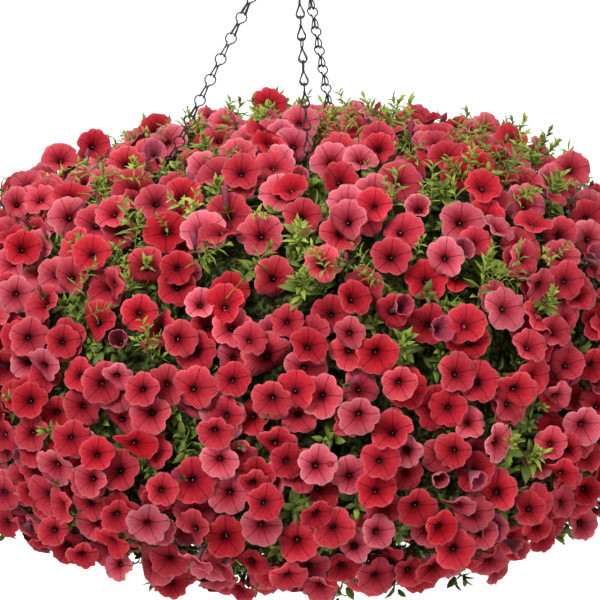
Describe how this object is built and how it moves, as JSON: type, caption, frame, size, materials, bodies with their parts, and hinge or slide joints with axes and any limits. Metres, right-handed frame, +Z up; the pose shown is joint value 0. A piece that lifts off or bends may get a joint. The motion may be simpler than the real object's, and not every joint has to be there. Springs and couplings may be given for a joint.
{
  "type": "petunia hanging basket",
  "caption": "Wire hanging basket lined with coir and planted with trailing red petunias that cover it, on wire-link chains and a hook.",
  "frame": {"origin": "underside of the crook of the hook, where the basket hangs", "axes": "+Z up, -Y towards the side that the picture shows, +X to the right as that side is seen"},
  "size_m": [0.84, 0.8126, 0.8373],
  "materials": {
    "black_wire": "satin",
    "coir": "fibrous",
    "compost": "matte",
    "petunia": "soft petals, leaves and stems"
  },
  "bodies": {
    "root": {"hook": "black_wire", "chain_left": "black_wire", "chain_front": "black_wire", "chain_back": "black_wire", "rim_clip_left": "black_wire", "rim_clip_front": "black_wire", "rim_clip_back": "black_wire", "wire_basket": "black_wire", "coir_liner": "coir", "soil": "compost", "petunia_centre": "petunia", "petunia_1": "petunia", "petunia_2": "petunia", "petunia_3": "petunia", "petunia_4": "petunia", "petunia_5": "petunia", "petunia_6": "petunia"}
  },
  "joints": []
}
